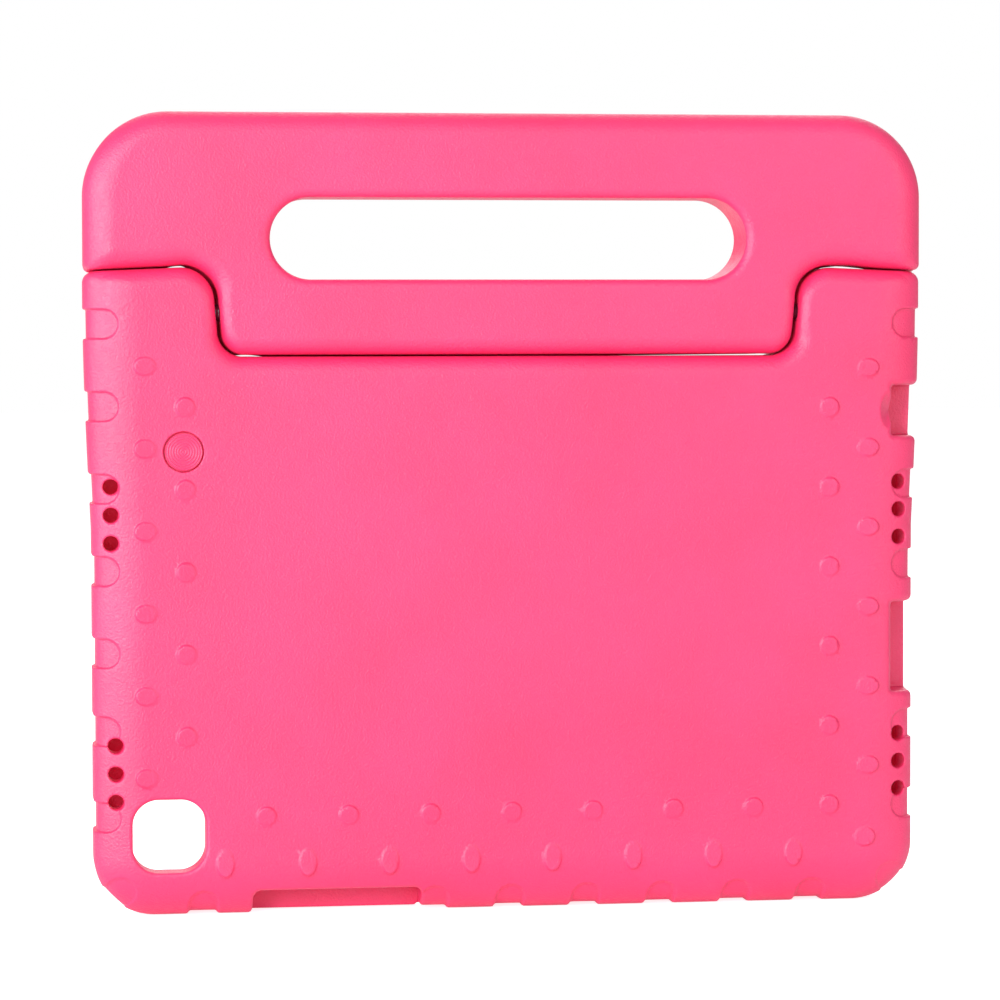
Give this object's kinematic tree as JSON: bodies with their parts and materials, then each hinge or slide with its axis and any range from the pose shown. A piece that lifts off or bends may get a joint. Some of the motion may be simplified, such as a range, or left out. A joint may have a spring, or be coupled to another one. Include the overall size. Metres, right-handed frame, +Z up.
{
  "type": "tablet case",
  "caption": "Moulded foam tablet case with a full-width carry handle hinged between two shoulders, which swings back as a stand; openings for camera, speakers, ports and buttons.",
  "frame": {"origin": "centre of the overall box on the plane that the case stands on, its long bottom edge", "axes": "+X along the case's width, to the right as seen from the back; +Y towards the screen side; +Z up to the handle"},
  "size_m": [0.268, 0.0248, 0.2538],
  "materials": {
    "eva_foam": "satin moulded foam skin with a fine pebble grain",
    "hinge_plastic": "moulded nylon, dark red",
    "pin_steel": "turned steel",
    "washer_plastic": "nylon, dark red",
    "ring_rubber": "black nitrile"
  },
  "bodies": {
    "case": {"case_body": "eva_foam", "hinge_sleeve_left": "hinge_plastic", "hinge_sleeve_right": "hinge_plastic"},
    "handle": {"handle": "eva_foam", "hinge_anchor_left": "hinge_plastic", "hinge_anchor_right": "hinge_plastic", "hinge_pin_left": "pin_steel", "hinge_pin_right": "pin_steel", "hinge_washer_left": "washer_plastic", "hinge_washer_right": "washer_plastic", "friction_ring_left": "ring_rubber", "friction_ring_right": "ring_rubber"}
  },
  "joints": [
    {"name": "handle_swing", "type": "hinge", "parent": "case", "child": "handle", "pos_m": [0, -0.0056, 0.1902], "axis": [1, 0, 0], "range_deg": [0, 130]}
  ]
}
